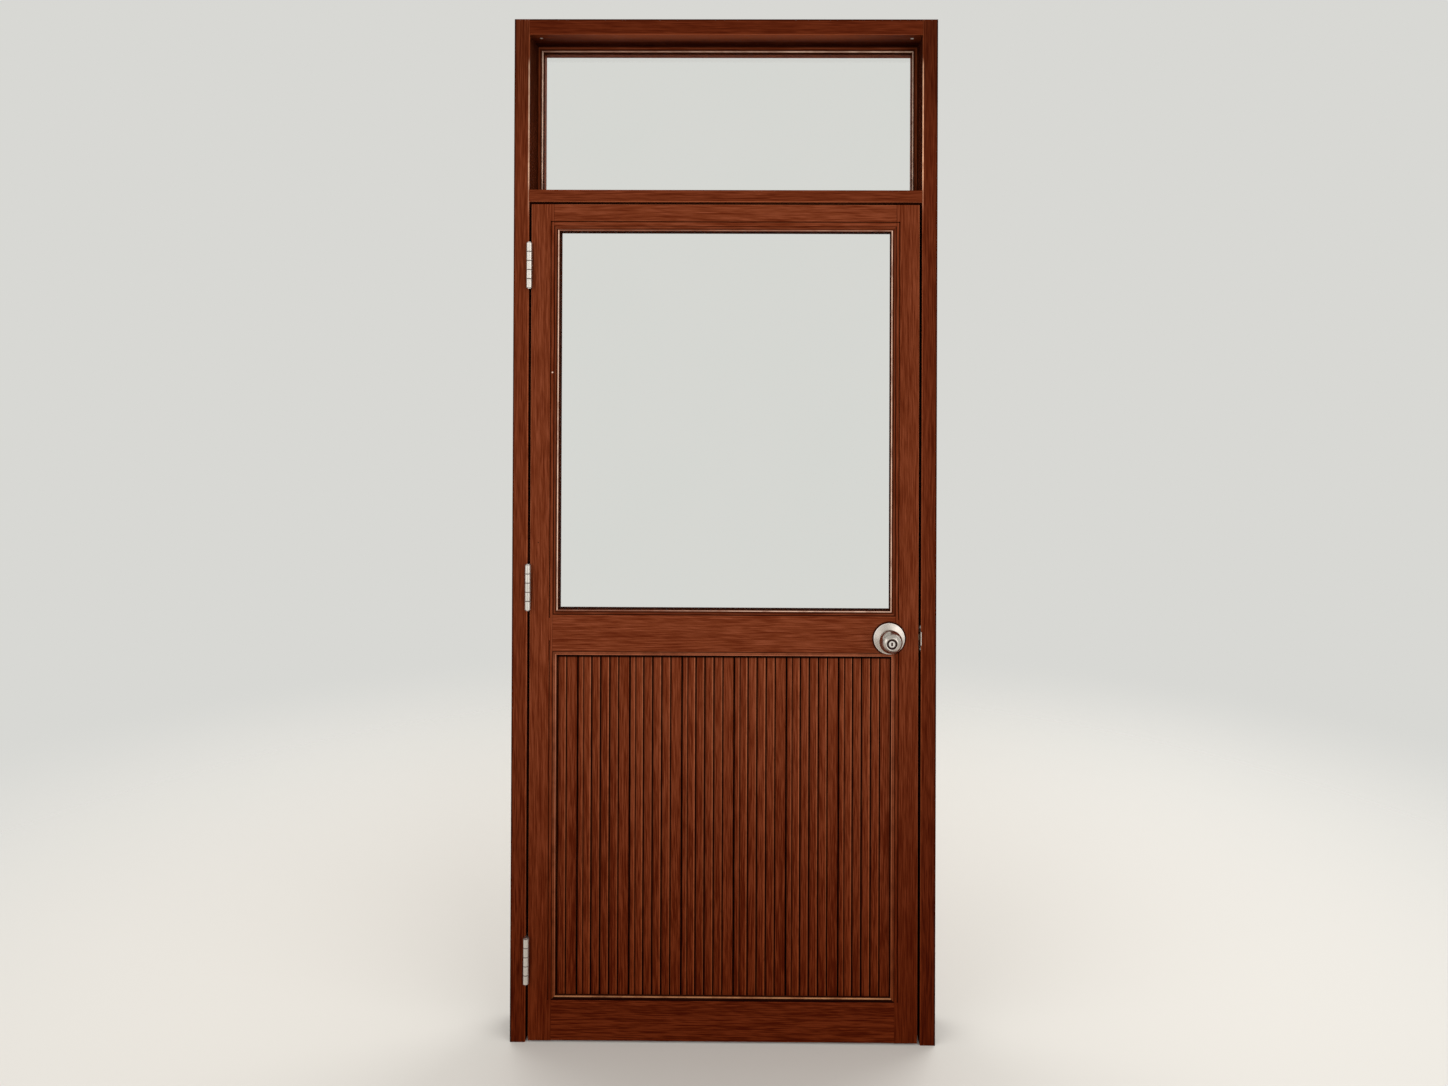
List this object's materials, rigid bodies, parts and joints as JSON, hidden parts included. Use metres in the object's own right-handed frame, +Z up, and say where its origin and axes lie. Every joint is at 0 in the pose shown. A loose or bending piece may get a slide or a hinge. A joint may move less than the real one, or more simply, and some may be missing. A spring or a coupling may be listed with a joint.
{
  "type": "half-glazed timber door with frame",
  "caption": "Half-glazed timber door hung in its frame, with a fixed light above, a reeded lower panel, butt hinges and a keyed round knobset. The leaf swings outwards.",
  "frame": {"origin": "on the floor, in the middle of the whole part's width and depth", "axes": "+Z up, -Y towards the pull side, with the hinges on the -X side"},
  "size_m": [1.066, 0.188, 2.572],
  "materials": {
    "stained_wood": "satin varnish over a red-brown stain",
    "clear_glass": "clear and smooth",
    "satin_steel": "satin"
  },
  "bodies": {
    "frame": {"head": "stained_wood", "head_screws": "satin_steel", "hinge_bottom_jamb_half": "satin_steel", "hinge_middle_jamb_half": "satin_steel", "hinge_pins": "satin_steel", "hinge_top_jamb_half": "satin_steel", "jamb_hinge_side": "stained_wood", "jamb_lock_side": "stained_wood", "jamb_screws": "satin_steel", "stop_hinge_side": "stained_wood", "stop_lock_side": "stained_wood", "stop_top": "stained_wood", "strike_plate": "satin_steel", "transom_bar": "stained_wood", "transom_bead_bottom": "stained_wood", "transom_bead_hinge_side": "stained_wood", "transom_bead_lock_side": "stained_wood", "transom_bead_top": "stained_wood", "transom_glass": "clear_glass", "transom_stop_bottom": "stained_wood", "transom_stop_hinge_side": "stained_wood", "transom_stop_lock_side": "stained_wood", "transom_stop_top": "stained_wood"},
    "leaf": {"door_glass": "clear_glass", "glass_bead_bottom": "stained_wood", "glass_bead_hinge_side": "stained_wood", "glass_bead_lock_side": "stained_wood", "glass_bead_top": "stained_wood", "hinge_bottom_leaf_half": "satin_steel", "hinge_middle_leaf_half": "satin_steel", "hinge_top_leaf_half": "satin_steel", "latch_case": "satin_steel", "leaf_screws": "satin_steel", "panel_bead_bottom": "stained_wood", "panel_bead_hinge_side": "stained_wood", "panel_bead_lock_side": "stained_wood", "panel_bead_top": "stained_wood", "panel_board_1": "stained_wood", "panel_board_2": "stained_wood", "panel_board_3": "stained_wood", "panel_board_4": "stained_wood", "panel_board_5": "stained_wood", "panel_board_6": "stained_wood", "panel_board_7": "stained_wood", "rail_bottom": "stained_wood", "rail_lock": "stained_wood", "rail_top": "stained_wood", "rose_inner": "satin_steel", "rose_outer": "satin_steel", "rose_screws": "satin_steel", "stile_hinge_side": "stained_wood", "stile_lock_side": "stained_wood"},
    "knobs": {"knob_outer": "satin_steel", "knob_inner": "satin_steel", "spindle": "satin_steel", "latch_hub": "satin_steel"},
    "latch_bolt": {"latch_bolt": "satin_steel"},
    "key_plug": {"key_plug": "satin_steel"},
    "turn_button": {"turn_button": "satin_steel"}
  },
  "joints": [
    {"name": "leaf_hinge", "type": "hinge", "parent": "frame", "child": "leaf", "pos_m": [-0.4915, -0.03752, 1.055], "axis": [0, 0, -1], "range_deg": [0, 175]},
    {"name": "knob_turn", "type": "hinge", "parent": "leaf", "child": "knobs", "pos_m": [0.415, -0.011, 1.017], "axis": [0, 1, 0], "range_deg": [0, 50]},
    {"name": "latch_slide", "type": "slide", "parent": "leaf", "child": "latch_bolt", "axis": [-1, 0, 0], "range_m": [0, 0.012], "stiffness_N_per_m": 400, "springref_m": -0.004},
    {"name": "key_turn", "type": "hinge", "parent": "knobs", "child": "key_plug", "pos_m": [0.415, -0.094, 1.017], "axis": [0, 1, 0], "range_deg": [0, 90]},
    {"name": "button_turn", "type": "hinge", "parent": "knobs", "child": "turn_button", "pos_m": [0.415, 0.072, 1.017], "axis": [0, 1, 0], "range_deg": [0, 90]}
  ],
  "couplings": [
    {"joint": "latch_slide", "follows": "knob_turn", "m_per_rad": 0.01375}
  ]
}
